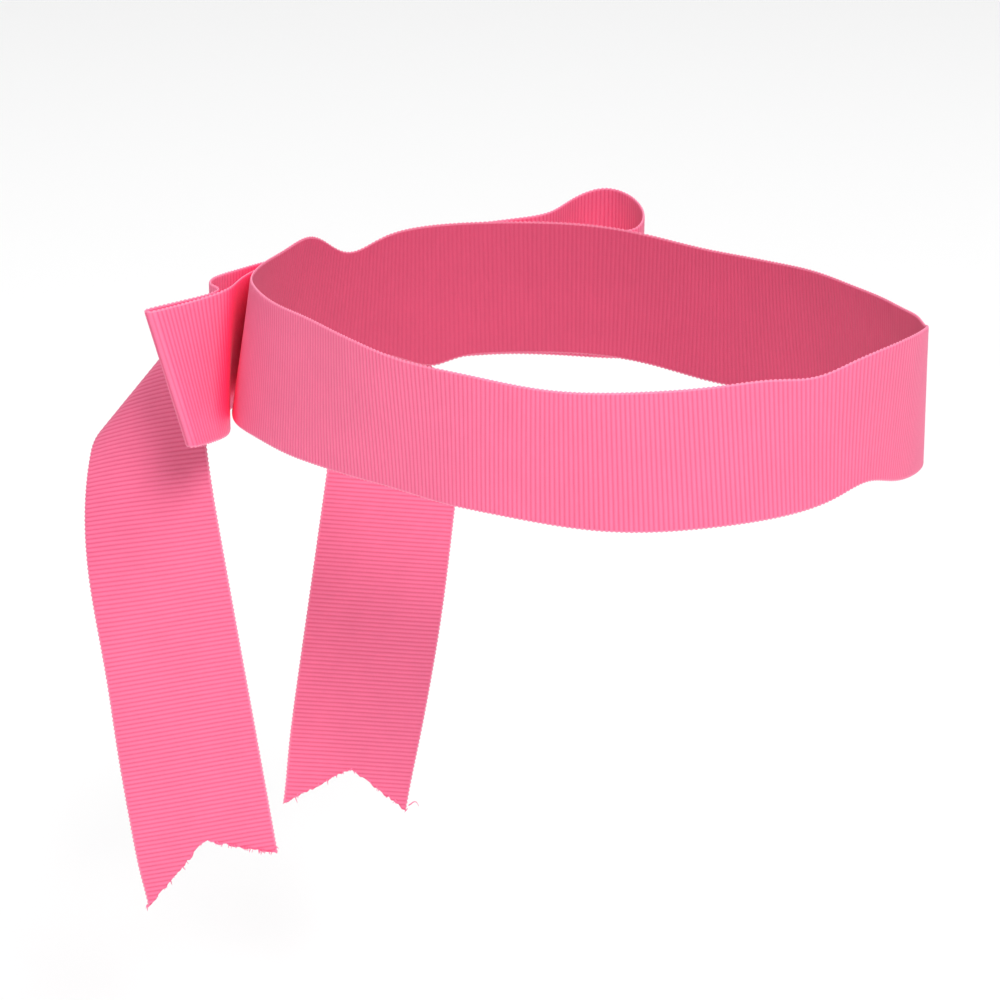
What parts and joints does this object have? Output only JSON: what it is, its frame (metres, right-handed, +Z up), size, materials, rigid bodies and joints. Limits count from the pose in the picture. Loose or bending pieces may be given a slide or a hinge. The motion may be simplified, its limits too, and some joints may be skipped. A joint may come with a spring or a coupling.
{
  "type": "ribbon headband",
  "caption": "Headband made of one wide ribbed ribbon, tied at the back of the head in a bow with two loops and two hanging V-cut tails.",
  "frame": {"origin": "centre of the head opening, half way up the band", "axes": "+Z up the wearer's head, -Y towards the forehead, +Y towards the bow at the back, +X to the wearer's left"},
  "size_m": [0.1751, 0.2289, 0.1927],
  "materials": {
    "band_ribbon": "ribbed, satin sheen",
    "knot_ribbon": "ribbed, gathered",
    "loop_ribbon": "ribbed, satin sheen",
    "tail_ribbon": "ribbed, satin sheen"
  },
  "bodies": {
    "band": {"head_band": "band_ribbon", "half_knot": "knot_ribbon", "bow_heart": "knot_ribbon", "knot_wrap": "knot_ribbon"},
    "right_bow": {"right_loop": "loop_ribbon", "right_tail_root": "tail_ribbon"},
    "left_bow": {"left_loop": "loop_ribbon", "left_tail_root": "tail_ribbon"},
    "right_tail_drop": {"right_tail": "tail_ribbon"},
    "left_tail_drop": {"left_tail": "tail_ribbon"}
  },
  "joints": [
    {"name": "right_loop_lift", "type": "hinge", "parent": "band", "child": "right_bow", "pos_m": [-0.0099, 0.114, 0], "axis": [0, 0, -1], "range_deg": [0, 20], "stiffness_Nm_per_rad": 0.02},
    {"name": "left_loop_lift", "type": "hinge", "parent": "band", "child": "left_bow", "pos_m": [0.0099, 0.114, 0], "axis": [0, 0, 1], "range_deg": [0, 20], "stiffness_Nm_per_rad": 0.02},
    {"name": "right_tail_swing", "type": "hinge", "parent": "right_bow", "child": "right_tail_drop", "pos_m": [-0.07164, 0.0982, -0.09058], "axis": [0.7874, -0.5976, 0.1513], "range_deg": [-10, 60]},
    {"name": "left_tail_swing", "type": "hinge", "parent": "left_bow", "child": "left_tail_drop", "pos_m": [0.02108, 0.11295, -0.05303], "axis": [0.9042, -0.3988, -0.153], "range_deg": [-10, 60]}
  ]
}
